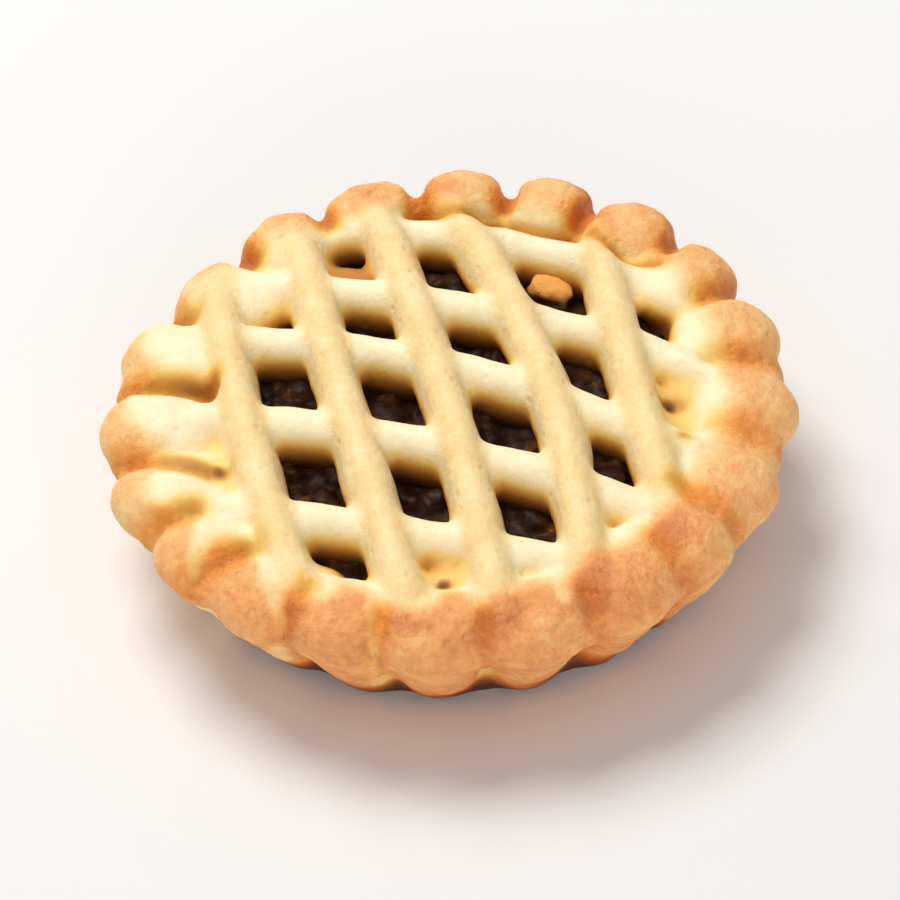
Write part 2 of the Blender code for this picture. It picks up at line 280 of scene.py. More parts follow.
def draw_rib(rings):
    """One flute: an oval of dough drawn up in steps, along the +X side."""
    start_piece()
    z, middle, deep, wide = rings[0]
    bpy.ops.mesh.primitive_circle_add(
        vertices=OVAL_POINTS, radius=1.0, fill_type="NGON", location=(middle, 0, z)
    )
    rib = bpy.context.active_object
    rib.scale = (deep, wide, 1)
    bpy.ops.object.transform_apply(location=True, rotation=True, scale=True)
    bpy.ops.object.mode_set(mode="EDIT")
    bpy.ops.mesh.select_all(action="SELECT")
    for up, out, new_deep, new_wide in rings[1:]:
        bpy.ops.mesh.extrude_region_move(
            TRANSFORM_OT_translate={"value": (out - middle, 0, up - z)}
        )
        bpy.ops.transform.resize(
            value=(new_deep / deep, new_wide / wide, 1), center_override=(out, 0, up)
        )
        z, middle, deep, wide = up, out, new_deep, new_wide
    bpy.ops.mesh.select_all(action="SELECT")
    bpy.ops.mesh.normals_make_consistent(inside=False)
    bpy.ops.object.mode_set(mode="OBJECT")
    return rib


def draw_lobe(long, wide, tall, height):
    """One oval lump of dough, pointing to +X: a lobe, a join or a low patch."""
    start_piece()
    bpy.ops.mesh.primitive_uv_sphere_add(
        segments=LOBE_SEGMENTS, ring_count=LOBE_SEGMENT_RINGS, radius=0.5, location=(0, 0, height)
    )
    lobe = bpy.context.active_object
    lobe.scale = (long, wide, tall)
    bpy.ops.object.transform_apply(location=True, rotation=True, scale=True)
    return lobe


def dent(turn):
    """How far the rim is pressed in, in one direction."""
    away = (turn - DENT_AT + math.pi) % (2 * math.pi) - math.pi
    return DENT * math.exp(-((away / DENT_SPREAD) ** 2))


def copy_shape(shape):
    """A copy of a drawn shape, with its own mesh."""
    one = shape.copy()
    one.data = shape.data.copy()
    bpy.context.collection.objects.link(one)
    return one


def copy_round(shape, turn, place, name):
    """A named copy of a lobe, rib or patch, turned about the Z axis and set at its place."""
    one = copy_shape(shape)
    one.name = name
    one.rotation_euler = (0, 0, turn)
    one.location = place
    return one


def polar(turn, away):
    """The spot at a direction, in radians, and a distance from the axis."""
    return Vector((away * math.cos(turn), away * math.sin(turn), 0))


def upper_point(strand, y):
    """Where the middle of an upper roll runs, for a distance y from the X axis."""
    place, slope, bow = strand
    return place - slope * y + bow * y**2, y


def lower_point(strand, x):
    """Where the middle of a lower roll runs, for a distance x from the Y axis."""
    place, slope, bow, bend = strand
    return x, place - slope * x - bow * x**2 - bend * max(0.0, x - BEND_START) ** 2


def dome(radius, end_sink):
    """How far the lattice lies below its middle, at a radius."""
    sink = end_sink * (max(0.0, radius - SINK_FROM) / (STRAND_REACH - SINK_FROM)) ** 2
    return FIELD_DROP * (radius / FIELD_RADIUS) ** 2 + sink


def reach(route, strand, direction):
    """How far along its route a roll goes before it meets the rim."""
    step = 0.1 * MM
    along = 0.0
    while math.hypot(*route(strand, along + direction * step)) < STRAND_REACH:
        along += direction * step
    return along


def spots_along(route, strand, height, end_sink, steps):
    """Points down the middle of one roll, from end to end."""
    start = reach(route, strand, -1)
    end = reach(route, strand, 1)
    spots = []
    for i in range(steps + 1):
        x, y = route(strand, start + (end - start) * i / steps)
        spots.append(Vector((x, y, height - dome(math.hypot(x, y), end_sink))))
    return spots


def lay_strand(name, spots, wide, tall, flares, across):
    """Draw one roll of dough along its points: an oval end, extruded step by step."""
    last = len(spots) - 1
    turns = []
    sizes = []
    for i in range(last + 1):
        ahead = spots[min(i + 1, last)] - spots[max(i - 1, 0)]
        turns.append(math.atan2(ahead.y, ahead.x))
        near_start = 1 - ease(0, FLARE_LENGTH, (spots[i] - spots[0]).length)
        near_end = 1 - ease(0, FLARE_LENGTH, (spots[i] - spots[last]).length)
        flare = 1 + (flares[0] - 1) * near_start + (flares[1] - 1) * near_end
        phase = SWELL_PER_STEP * i + SWELL_BY_X * spots[0].x + SWELL_BY_Y * spots[0].y
        swell = 1 + SWELL * math.sin(phase)
        size = STRAND_END_SIZE if i in (0, last) else swell
        sizes.append((size * flare, size))
    start_piece()
    bpy.ops.mesh.primitive_circle_add(vertices=OVAL_POINTS, radius=0.5, fill_type="NGON")
    roll = bpy.context.active_object
    roll.name = name
    roll.scale = (wide * sizes[0][0], tall * sizes[0][1], 1)
    roll.rotation_euler = (math.pi / 2, 0, turns[0] + math.pi / 2)
    roll.location = spots[0]
    bpy.ops.object.transform_apply(location=False, rotation=False, scale=True)
    for vertex in roll.data.vertices:
        up = vertex.co.y / (tall * sizes[0][1] / 2)
        vertex.co.x *= 1 - (TOP_NARROWING if up > 0 else FOOT_SPREAD) * up
    bpy.ops.object.transform_apply(location=True, rotation=True, scale=True)
    bpy.ops.object.mode_set(mode="EDIT")
    bpy.ops.mesh.select_all(action="SELECT")
    for i in range(1, last + 1):
        bpy.ops.mesh.extrude_region_move(
            TRANSFORM_OT_translate={"value": spots[i] - spots[i - 1]}
        )
        bpy.ops.transform.rotate(
            value=turns[i - 1] - turns[i], orient_axis="Z", center_override=spots[i]
        )
        broader = sizes[i][0] / sizes[i - 1][0]
        taller = sizes[i][1] / sizes[i - 1][1]
        growth = (broader, 1, taller) if across == "X" else (1, broader, taller)
        bpy.ops.transform.resize(value=growth, center_override=spots[i])
    bpy.ops.mesh.select_all(action="SELECT")
    bpy.ops.mesh.normals_make_consistent(inside=False)
    bpy.ops.object.mode_set(mode="OBJECT")
    return roll


def add_ring(radius, breadth, half_wide, half_tall, height, nearer):
    """A round ring of dough, squeezed to its height and breadth."""
    start_piece()
    bpy.ops.mesh.primitive_torus_add(
        major_radius=radius,
        minor_radius=half_wide,
        major_segments=RING_STEPS,
        minor_segments=OVAL_POINTS,
        location=(0, -nearer, height),
    )
    ring = bpy.context.active_object
    ring.scale = (breadth, 1, half_tall / half_wide)
    bpy.ops.object.transform_apply(location=True, rotation=True, scale=True)
    return ring


def reskin(dough, voxel, rounds):
    """Give the dough one clean closed skin, softened over a number of rounds."""
    pick(dough)
    skin = dough.modifiers.new("one_skin", "REMESH")
    skin.mode = "VOXEL"
    skin.voxel_size = voxel
    bpy.ops.object.modifier_apply(modifier=skin.name)
    melt = dough.modifiers.new("melt", "SMOOTH")
    melt.factor = 0.5
    melt.iterations = rounds
    bpy.ops.object.modifier_apply(modifier=melt.name)


def fuse(parts, name, voxel, rounds):
    """Join parts into one closed skin and let it melt together."""
    start_piece()
    for part in parts:
        part.select_set(True)
    bpy.context.view_layer.objects.active = parts[0]
    bpy.ops.object.transform_apply(location=True, rotation=True, scale=True)
    bpy.ops.object.join()
    dough = bpy.context.active_object
    dough.name = name
    dough.data.name = name
    reskin(dough, voxel, rounds)
    return dough


def points_of(dough):
    """The mesh's points as an array."""
    found = np.empty(len(dough.data.vertices) * 3)
    dough.data.vertices.foreach_get("co", found)
    return found.reshape(-1, 3)


def roughen(dough, name, size, depth, group=""):
    """Raise and sink the skin by a cloudy noise of one size."""
    clouds = bpy.data.textures.new(name, "CLOUDS")
    clouds.noise_scale = size
    clouds.noise_depth = 2
    bumps = dough.modifiers.new(name, "DISPLACE")
    bumps.texture = clouds
    bumps.texture_coords = "LOCAL"
    bumps.strength = depth
    bumps.mid_level = 0.5
    bumps.vertex_group = group
    pick(dough)
    bpy.ops.object.modifier_apply(modifier=bumps.name)


def slice_level(dough, low, high):
    """Keep only the part of a closed skin between two heights."""
    start_piece()
    bpy.ops.mesh.primitive_cube_add(size=1.0, location=(0, 0, (low + high) / 2))
    slab = bpy.context.active_object
    slab.scale = (SLAB_WIDE, SLAB_WIDE, high - low)
    bpy.ops.object.transform_apply(location=True, rotation=True, scale=True)
    cut = dough.modifiers.new("level_cut", "BOOLEAN")
    cut.operation = "INTERSECT"
    cut.solver = "EXACT"
    cut.object = slab
    pick(dough)
    bpy.ops.object.modifier_apply(modifier=cut.name)
    bpy.data.objects.remove(slab, do_unlink=True)


def away_from(lines, xy):
    """How far each point lies from the nearest line, seen from above, which line that is, and
    how far along the line, from 0 to 1."""
    nearest = np.full(len(xy), np.inf)
    which = np.zeros(len(xy), int)
    along = np.zeros(len(xy))
    for number, line in enumerate(lines):
        spots = np.array([spot[:2] for spot in line])
        for step, (a, b) in enumerate(zip(spots, spots[1:])):
            run = b - a
            part = np.clip(((xy - a) @ run) / (run @ run), 0, 1)
            gap = xy - a - part[:, None] * run
            away = np.hypot(gap[:, 0], gap[:, 1])
            closer = away < nearest
            nearest[closer] = away[closer]
            which[closer] = number
            along[closer] = (step + part[closer]) / (len(spots) - 1)
    return nearest, which, along


def weigh(dough, name, shares, least):
    """Keep the share of each point in a group, where it is above the least one."""
    group = dough.vertex_groups.new(name=name)
    for index in np.nonzero(shares > least)[0]:
        group.add([int(index)], float(shares[index]), "REPLACE")


def press(dough, name, shares, depth):
    """Press the skin in along its normals, by a share of the depth at each point."""
    weigh(dough, name, shares, PRESS_LEAST)
    push = dough.modifiers.new(name, "DISPLACE")
    push.strength = -depth
    push.mid_level = 0.0
    push.vertex_group = name
    pick(dough)
    bpy.ops.object.modifier_apply(modifier=push.name)


def keep_mask(dough, name, values):
    """Store how far each point has a finish, from 0 to 1, for the material."""
    mask = dough.data.attributes.new(name, "FLOAT", "POINT")
    mask.data.foreach_set("value", np.clip(values, 0, 1).astype(np.float32))


def patches(points, size):
    """A cloudy value about nought at each point, with features of one size."""
    return np.array([noise.noise(Vector(point) / size) for point in points])


def ease(low, high, value):
    """0 below low, 1 above high, and a soft slope between."""
    part = np.clip((value - low) / (high - low), 0, 1)
    return part * part * (3 - 2 * part)


def tone(red, green, blue):
    """A colour from its display values, 0 to 255, by the usual curve of a display."""
    linear = []
    for part in (red / 255, green / 255, blue / 255):
        linear.append(part / 12.92 if part <= 0.04045 else ((part + 0.055) / 1.055) ** 2.4)
    return (*linear, 1.0)


# How much of the crumb's unevenness unbaked dough has.
SMOOTH_SHARE = 0.25
# Baked colours from pale dough to toast, and the tints of painted shade, which darken the dough
# in the hollows where shade falls.
CRUST_STOPS = [
    (0.0, tone(255, 241, 203)),
    (0.22, tone(248, 220, 160)),
    (0.45, tone(249, 198, 130)),
    (0.7, tone(244, 168, 98)),
    (1.0, tone(218, 136, 76)),
]
PAINTED_SHADE_STOPS = [
    (0.0, tone(255, 255, 255)),
    (0.25, tone(249, 228, 164)),
    (0.5, tone(218, 170, 88)),
    (0.75, tone(160, 108, 46)),
    (1.0, tone(84, 50, 22)),
]
# How strongly blotches and speckles shift the baked colour, and how deep the crumb looks.
BLOTCH_SHARE = 0.7
SPECKLE_SHARE = 0.7
CRUMB_RELIEF = 0.9 * MM
LID_ROUGHNESS = 0.55
CASE_ROUGHNESS = 0.6
# Features of the crumb, and how many millimetres across they are.
CRUMB_SIZES = (("Blotch Size", 4.6), ("Speckle Size", 1.1), ("Pore Size", 2.4))


def make_dough_group():
    """The baked crumb that all the pastry shares: blotches, speckles and pores."""
    group = bpy.data.node_groups.new("baked_crumb", "ShaderNodeTree")
    for name, value in CRUMB_SIZES:
        socket = group.interface.new_socket(name, in_out="INPUT", socket_type="NodeSocketFloat")
        socket.default_value = value
    for name in ("Blotch", "Speckle", "Relief"):
        group.interface.new_socket(name, in_out="OUTPUT", socket_type="NodeSocketFloat")
    nodes, links = group.nodes, group.links
    given = nodes.new("NodeGroupInput")
    result = nodes.new("NodeGroupOutput")
    place = nodes.new("ShaderNodeTexCoord")

    def pattern(kind, size_name):
        """A texture whose features are about that many millimetres across."""
        texture = nodes.new(kind)
        per_metre = nodes.new("ShaderNodeMath")
        per_metre.operation = "DIVIDE"
        per_metre.inputs[0].default_value = 1 / MM
        links.new(given.outputs[size_name], per_metre.inputs[1])
        links.new(per_metre.outputs[0], texture.inputs["Scale"])
        links.new(place.outputs["Object"], texture.inputs["Vector"])
        return texture

    blotch = pattern("ShaderNodeTexNoise", "Blotch Size")
    blotch.inputs["Detail"].default_value = 3
    links.new(blotch.outputs["Fac"], result.inputs["Blotch"])

    speckle = pattern("ShaderNodeTexNoise", "Speckle Size")
    speckle.inputs["Detail"].default_value = 4
    speckle.inputs["Roughness"].default_value = 0.6
    links.new(speckle.outputs["Fac"], result.inputs["Speckle"])

    pores = pattern("ShaderNodeTexVoronoi", "Pore Size")
    pores.inputs["Randomness"].default_value = 1.0
    dip = nodes.new("ShaderNodeMapRange")
    dip.inputs["From Min"].default_value = 0.06
    dip.inputs["From Max"].default_value = 0.22
    dip.inputs["To Min"].default_value = 0.0
    dip.inputs["To Max"].default_value = 0.5
    links.new(pores.outputs["Distance"], dip.inputs["Value"])
    add = nodes.new("ShaderNodeMath")
    add.operation = "ADD"
    links.new(dip.outputs[0], add.inputs[0])
    links.new(speckle.outputs["Fac"], add.inputs[1])
    links.new(add.outputs[0], result.inputs["Relief"])
    return group


baked_crumb = make_dough_group()


def colour_scale(nodes, links, stops, source):
    """A scale of colours, read from a value."""
    scale = nodes.new("ShaderNodeValToRGB")
    ramp = scale.color_ramp
    while len(ramp.elements) < len(stops):
        ramp.elements.new(0.5)
    for element, (place, colour) in zip(ramp.elements, stops):
        element.position = place
        element.color = colour
    links.new(source, scale.inputs["Fac"])
    return scale.outputs["Color"]


def bake_colours(name, roughness):
    """A pastry finish: a scale of baked colours, read from the masks and the crumb, darkened by
    the tints of painted shade.
    """
    finish = bpy.data.materials.new(name)
    finish.use_nodes = True
    nodes, links = finish.node_tree.nodes, finish.node_tree.links
    shader = nodes["Principled BSDF"]
    shader.inputs["Roughness"].default_value = roughness
    shader.inputs["Subsurface Weight"].default_value = 0.2
    shader.inputs["Subsurface Radius"].default_value = (1.0, 0.55, 0.25)
    shader.inputs["Subsurface Scale"].default_value = 0.8 * MM
    shader.inputs["Specular IOR Level"].default_value = 0.35

    crumb = nodes.new("ShaderNodeGroup")
    crumb.node_tree = baked_crumb
    browning_and_shade = nodes.new("ShaderNodeAttribute")
    browning_and_shade.attribute_name = "browning_and_shade"
    painted_shade = nodes.new("ShaderNodeAttribute")
    painted_shade.attribute_name = "painted_shade"
    baked = nodes.new("ShaderNodeMath")
    baked.operation = "ADD"
    baked.inputs[1].default_value = SMOOTH_SHARE
    links.new(browning_and_shade.outputs["Fac"], baked.inputs[0])

    def shifted(source, amount, onto):
        """Add a pattern, centred on nought and stronger where the dough is baked, to a value."""
        centre = nodes.new("ShaderNodeMath")
        centre.operation = "SUBTRACT"
        centre.inputs[1].default_value = 0.5
        links.new(source, centre.inputs[0])
        share = nodes.new("ShaderNodeMath")
        share.operation = "MULTIPLY"
        share.inputs[1].default_value = amount
        links.new(baked.outputs[0], share.inputs[0])
        scale = nodes.new("ShaderNodeMath")
        scale.operation = "MULTIPLY_ADD"
        links.new(centre.outputs[0], scale.inputs[0])
        links.new(share.outputs[0], scale.inputs[1])
        links.new(onto, scale.inputs[2])
        return scale.outputs[0]

    value = shifted(crumb.outputs["Blotch"], BLOTCH_SHARE, browning_and_shade.outputs["Fac"])
    value = shifted(crumb.outputs["Speckle"], SPECKLE_SHARE, value)
    mix = nodes.new("ShaderNodeMix")
    mix.data_type = "RGBA"
    mix.blend_type = "MULTIPLY"
    mix.inputs["Factor"].default_value = 1.0
    links.new(colour_scale(nodes, links, CRUST_STOPS, value), mix.inputs["A"])
    # Painted shade: these tints darken the dough where shade falls in the hollows.
    shade_tints = colour_scale(nodes, links, PAINTED_SHADE_STOPS, painted_shade.outputs["Fac"])
    links.new(shade_tints, mix.inputs["B"])
    links.new(mix.outputs["Result"], shader.inputs["Base Color"])

    bump = nodes.new("ShaderNodeBump")
    bump.inputs["Strength"].default_value = 0.6
    bump.inputs["Distance"].default_value = CRUMB_RELIEF
    height = nodes.new("ShaderNodeMath")
    height.operation = "MULTIPLY"
    links.new(crumb.outputs["Relief"], height.inputs[0])
    links.new(baked.outputs[0], height.inputs[1])
    links.new(height.outputs[0], bump.inputs["Height"])
    links.new(bump.outputs["Normal"], shader.inputs["Normal"])
    return finish


start_piece()
bpy.ops.mesh.primitive_cone_add(
    vertices=CUP_POINTS,
    radius1=CUP_BASE_RADIUS,
    radius2=CUP_TOP_RADIUS,
    depth=CUP_TOP - CUP_START,
    location=(0, 0, (CUP_TOP + CUP_START) / 2),
)
cup = bpy.context.active_object
bpy.ops.object.transform_apply(location=True, rotation=True, scale=True)
bpy.ops.object.mode_set(mode="EDIT")
bpy.ops.mesh.select_all(action="DESELECT")
bpy.ops.object.mode_set(mode="OBJECT")
for face in cup.data.polygons:
    face.select = face.normal.z > FACES_UP
bpy.ops.object.mode_set(mode="EDIT")
bpy.ops.mesh.inset(thickness=CUP_TOP_RADIUS - CUP_HOLE_RADIUS)
bpy.ops.mesh.extrude_region_move(
    TRANSFORM_OT_translate={"value": (0, 0, CUP_HOLE_FLOOR - CUP_TOP)}
)
bpy.ops.transform.resize(
    value=(CUP_HOLE_TAPER, CUP_HOLE_TAPER, 1), center_override=(0, 0, CUP_HOLE_FLOOR)
)
bpy.ops.object.mode_set(mode="OBJECT")

crust_parts = [cup] + [add_ring(*ring) for ring in RINGS]
for radius, half_wide, half_tall, height, turn, from_axis in BANKS:
    crust_parts.append(add_ring(radius, 1.0, half_wide, half_tall, height, 0.0))
    bpy.ops.object.mode_set(mode="EDIT")
    bpy.ops.mesh.select_all(action="SELECT")
    bpy.ops.mesh.bisect(
        plane_co=polar(turn, from_axis), plane_no=-polar(turn, 1), use_fill=True, clear_outer=True
    )
    bpy.ops.object.mode_set(mode="OBJECT")

lobe_shapes = {kind: draw_lobe(*size) for kind, size in LOBE_SHAPES.items()}
rib = draw_rib(RIB_RINGS)
dough_draw = random.Random(7)
for index, (direction, slant, kind) in enumerate(LOBES):
    turn = math.radians(direction)
    inward = dent(turn)
    crust_parts.append(copy_round(rib, turn, polar(turn, -inward), f"rib_{index:02d}"))
    points_to = turn + math.radians(slant)
    middle = polar(turn, LOBE_TIP - inward) - polar(points_to, LOBE_SHAPES[kind][0] / 2)
    middle.z = dough_draw.uniform(*LOBE_UNEVEN) * MM
    crust_parts.append(copy_round(lobe_shapes[kind], points_to, middle, f"lobe_{index:02d}"))
join_shape = draw_lobe(*JOIN_SIZE)
for index, direction in enumerate(JOINS):
    turn = math.radians(direction)
    middle = polar(turn, JOIN_TIP - JOIN_SIZE[0] / 2 - dent(turn))
    crust_parts.append(copy_round(join_shape, turn, middle, f"join_{index:02d}"))
for shape in (*lobe_shapes.values(), join_shape, rib):
    bpy.data.objects.remove(shape, do_unlink=True)

upper_lines = [spots_along(upper_point, line, UPPER_Z, UPPER_SINK, STRAND_STEPS) for line in UPPER]
lower_lines = [spots_along(lower_point, line, LOWER_Z, LOWER_SINK, STRAND_STEPS) for line in LOWER]
rolls = []
for index, line in enumerate(upper_lines):
    rolls.append(lay_strand(f"upper_{index}", line, *UPPER_SIZE, UPPER_FLARES[index], "X"))
for index, line in enumerate(lower_lines):
    rolls.append(lay_strand(f"lower_{index}", line, *LOWER_SIZE, LOWER_FLARES[index], "Y"))
for index, (x, y, long, wide, turn, height) in enumerate(LOW_DOUGH):
    patch = draw_lobe(long, wide, LOW_DOUGH_TALL, height)
    rolls.append(copy_round(patch, math.radians(turn), Vector((x, y, 0)), f"low_dough_{index}"))
    bpy.data.objects.remove(patch, do_unlink=True)

crease_lines = []
for outer, inner, inner_away, _, _, _ in CREASES:
    crease_lines.append(
        [polar(math.radians(outer), CREASE_START), polar(math.radians(inner), inner_away)]
    )
flow_lines = [[Vector(end) for end in flow] for flow in FLOWS]
groove_lines = [[polar(math.radians(turn), away) for turn, away in line] for line in GROOVES]


# Where the skin counts as rim, and the size and depth of its unevenness: broad waves all over,
# and smaller waves and crumb on the rim.
RIM_SPAN = (28.0 * MM, 32.0 * MM)
WAVES = (6.0 * MM, 0.6 * MM)
RIM_WAVES = (2.4 * MM, 0.6 * MM)
RIM_CRUMB = (1.0 * MM, 0.35 * MM)
SMOOTH_ANGLE = math.radians(60)


def soft_line(away, half_wide, power=2):
    """1 on a line or spot, fading to nought beyond its half width."""
    return np.exp(-((away / half_wide) ** power))


def press_creases(piece):
    """Press the creases between the lobes, and the grooves beside the far roll, into the skin."""
    points = points_of(piece)
    crease_away, crease_index, _ = away_from(crease_lines, points[:, :2])
    _, _, _, depths, half_widths, _ = np.array(CREASES)[crease_index].T
    lifted = ease(*CREASED_HEIGHTS, points[:, 2])
    shares = soft_line(crease_away, half_widths) * (WALL_CREASE + (1 - WALL_CREASE) * lifted)
    press(piece, "creases", shares * depths / CREASE_DEPTH, CREASE_DEPTH)
    groove_away = away_from(groove_lines, points[:, :2])[0]
    press(piece, "grooves", soft_line(groove_away, GROOVE_HALF) * lifted, GROOVE_DEPTH)


def roughen_crust(piece):
    """Make the skin wavy all over, and crumbly on the rim."""
    points = points_of(piece)
    rim_shares = ease(*RIM_SPAN, np.hypot(points[:, 0], points[:, 1]))
    weigh(piece, "rim", rim_shares, 0)
    roughen(piece, piece.name + "_waves", *WAVES)
    roughen(piece, piece.name + "_rim_waves", *RIM_WAVES, "rim")
    roughen(piece, piece.name + "_rim_crumb", *RIM_CRUMB, "rim")
    piece.vertex_groups.clear()


# Where the browning of the rim starts, and how far in it reaches on the hot side and on the far
# side, in millimetres. Beside the rolls' ends on the cool side it starts further out, and it
# wavers from spot to spot, less so on the far side.
BROWNED_FROM = 28.6
HOT_SIDE = math.radians(-35)
HOT_REACH = 1.3
FAR_REACH = 1.2
COOL_SIDE = math.radians(205)
COOL_SPAN = (-0.2, 0.6)
ROLL_SPAN = (1.5 * MM, 4.0 * MM)
ROLL_REACH = 2.6 * MM
WAVER = 1.2 * MM
WAVER_SIZE = 4.0 * MM
FAR_STEADY = 0.6
BROWNING_SPREAD = 4.0 * MM
# Below these heights the wall is baked all over.
WALL_SPAN = (8.0 * MM, 11.0 * MM)
# How baked the rim is, and how much paler or darker it is on each side. The spans say from which
# sine or cosine of the direction a side counts.
RIM_BAKED = 0.64
FAR_SPAN = (0.55, 0.85)
FAR_PALER = 0.17
NEAR_SPAN = (0.3, 0.9)
NEAR_DARKER = 0.06
SIDE_SPAN = (0.55, 0.95)
LEFT_PALER = 0.2
RIGHT_PALER = 0.14
FLOW_PALER = 0.4
FLOW_POWER = 4
# The outer edge of the far lobes is browner.
FAR_EDGE_BROWNER = 0.42
EDGE_SPAN = (34.0 * MM, 36.8 * MM)
EDGE_HEIGHTS = (12.0 * MM, 15.0 * MM)
# The upper rolls are a little golden on top, the rest is pale, and creases on the rim get a
# browner painted shade.
GOLDEN = 0.2
ON_TOP_SPAN = (1.5 * MM, 3.2 * MM)
GOLDEN_SPAN = (1.0 * MM, 3.0 * MM)
PALE_DOUGH = 0.03
CREASE_SHADE_BROWNING = 0.18


def browning_and_shade_of(points, below, outside, crease_shading):
    """How brown each point is, from pale dough to toast: mostly the oven's baking, and painted
    shade in the creases on the rim.
    """
    x, y, z = points.T
    radius = np.hypot(x, y)
    around = np.arctan2(y, x)
    far = ease(*FAR_SPAN, np.sin(around))
    near = ease(*NEAR_SPAN, -np.sin(around))
    left = ease(*SIDE_SPAN, -np.cos(around))
    right = ease(*SIDE_SPAN, np.cos(around))
    roll_away = away_from(upper_lines + lower_lines, points[:, :2])[0]
    by_roll = 1 - ease(*ROLL_SPAN, roll_away)
    by_roll *= ease(*COOL_SPAN, np.cos(around - COOL_SIDE))
    browned_from = (BROWNED_FROM - HOT_REACH * np.cos(around - HOT_SIDE) - FAR_REACH * far) * MM
    browned_from += ROLL_REACH * by_roll
    browned_from += WAVER * patches(points, WAVER_SIZE) * (1 - FAR_STEADY * far)
    flow_away, _, flow_along = away_from(flow_lines, points[:, :2])
    flow_half = FLOW_WIDTHS[0] + (FLOW_WIDTHS[1] - FLOW_WIDTHS[0]) * flow_along
    flow = soft_line(flow_away, flow_half, FLOW_POWER)
    baked_share = RIM_BAKED - LEFT_PALER * left - FAR_PALER * far
    baked_share += NEAR_DARKER * near - RIGHT_PALER * right
    on_rim = ease(0, BROWNING_SPREAD, radius - browned_from)
    on_wall = 1 - ease(*WALL_SPAN, z)
    browned = (baked_share - FLOW_PALER * flow) * np.maximum(on_rim, on_wall)
    edge = FAR_EDGE_BROWNER * ease(*EDGE_SPAN, radius) * far * ease(*EDGE_HEIGHTS, z)
    on_top = 1 - ease(*ON_TOP_SPAN, away_from(upper_lines, points[:, :2])[0])
    golden = GOLDEN * on_top * (1 - ease(*GOLDEN_SPAN, below))
    # Painted shade in the creases on the rim is added to the browning.
    return PALE_DOUGH + golden + browned + edge + CREASE_SHADE_BROWNING * crease_shading * outside


# The flanks of the rolls get painted shade over these depths below the lattice's top, as far out
# as the rim, darker deeper down in the holes. On the left the painted shade is weaker, and
# weakest in front.
LATTICE_TOP = 19.2 * MM
FLANK_SPAN = (1.5 * MM, 5.4 * MM)
OUTSIDE_SPAN = (28.5 * MM, 32.0 * MM)
LESS_SHADE_LEFT_SPAN = (22.5 * MM, 25.0 * MM)
LESS_SHADE_FRONT_SPAN = (9.5 * MM, 11.0 * MM)
LESS_SHADE_SHARE = 0.4


def painted_shade_of(points, below, outside, crease_shade):
    """How much painted shade each point gets: on the flanks down in the holes, in the creases and
    grooves, and in dark spots.
    """
    x, y, _ = points.T
    groove_away = away_from(groove_lines, points[:, :2])[0]
    # Painted shade along the grooves.
    groove_shade = GROOVE_SHADE * soft_line(groove_away, GROOVE_SHADE_HALF)
    flank = ease(*FLANK_SPAN, below) * (1 - outside)
    less_shade = LESS_SHADE_SHARE + LESS_SHADE_SHARE * ease(*LESS_SHADE_FRONT_SPAN, -y)
    flank *= 1 - ease(*LESS_SHADE_LEFT_SPAN, -x) * less_shade
    spot_shade = np.zeros(len(points))
    # Dark spots of painted shade.
    for spot_x, spot_y, spot_radius, dark in SHADE_SPOTS:
        spot_away = np.hypot(x - spot_x, y - spot_y)
        spot_shade = np.maximum(spot_shade, dark * soft_line(spot_away, spot_radius))
    line_and_spot_shade = np.maximum(np.maximum(crease_shade, groove_shade), spot_shade)
    return np.maximum(flank, line_and_spot_shade)


def bake_crust(name, parts, low, high):
    """One side of the seam as a piece: fused, creased, rough at the rim, with its masks."""
    piece = fuse(parts, name, CRUST_VOXEL, MELT_ROUNDS)
    press_creases(piece)
    roughen_crust(piece)
    reskin(piece, CRUST_VOXEL, LAST_MELT_ROUNDS)
    slice_level(piece, low, high)
    points = points_of(piece)
    radius = np.hypot(points[:, 0], points[:, 1])
    below = LATTICE_TOP - FIELD_DROP * (radius / FIELD_RADIUS) ** 2 - points[:, 2]
    outside = ease(*OUTSIDE_SPAN, radius)
    # Painted shade down the forward flank of each crease, darkest at its inner end.
    crease_away, crease_index, crease_along = away_from(
        crease_lines, points[:, :2] - np.array([0, CREASE_SHADE_BACK])
    )
    _, _, _, _, half_widths, inner_shade = np.array(CREASES)[crease_index].T
    crease_shading = soft_line(crease_away, CREASE_SHADE_SPREAD * half_widths)
    along = OUTER_SHADE + (1 - OUTER_SHADE) * ease(*CREASE_SHADE_SPAN, crease_along)
    # The browning mask also carries painted shade in the creases on the rim.
    keep_mask(piece, "browning_and_shade", browning_and_shade_of(points, below, outside, crease_shading))
    # Painted shade on the flanks in the holes, in the creases and grooves, and in dark spots.
    keep_mask(piece, "painted_shade", painted_shade_of(points, below, outside, crease_shading * inner_shade * along))
    pick(piece)
    bpy.ops.object.shade_smooth_by_angle(angle=SMOOTH_ANGLE)
    piece.data.materials.clear()
    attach(piece, "root")
    return piece


rim_copies = [copy_shape(part) for part in crust_parts]
lid = bake_crust("baked_lattice", rim_copies + rolls, SEAM_Z, CRUST_TOP)
lid.data.materials.append(bake_colours("lid_pastry", LID_ROUGHNESS))
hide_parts("lattice_lid")

case = bake_crust("fluted_case", crust_parts, 0.0, SEAM_Z)
case.data.materials.append(bake_colours("case_pastry", CASE_ROUGHNESS))
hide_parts("pastry_case")


# Fruit mince: a dark sticky filling of raisins, currants and chopped peel that fills the case up
# to the lid. A few soft fruits are drawn and copied over a low mound, and set in syrup.
FRUIT_RADIUS = 27.9 * MM
FRUIT_POINTS = 96
FRUIT_LOW = 3.9 * MM
FRUIT_LOW_RADIUS = 24.4 * MM
FRUIT_EDGE = 12.0 * MM
FRUIT_MOUND = 1.3 * MM
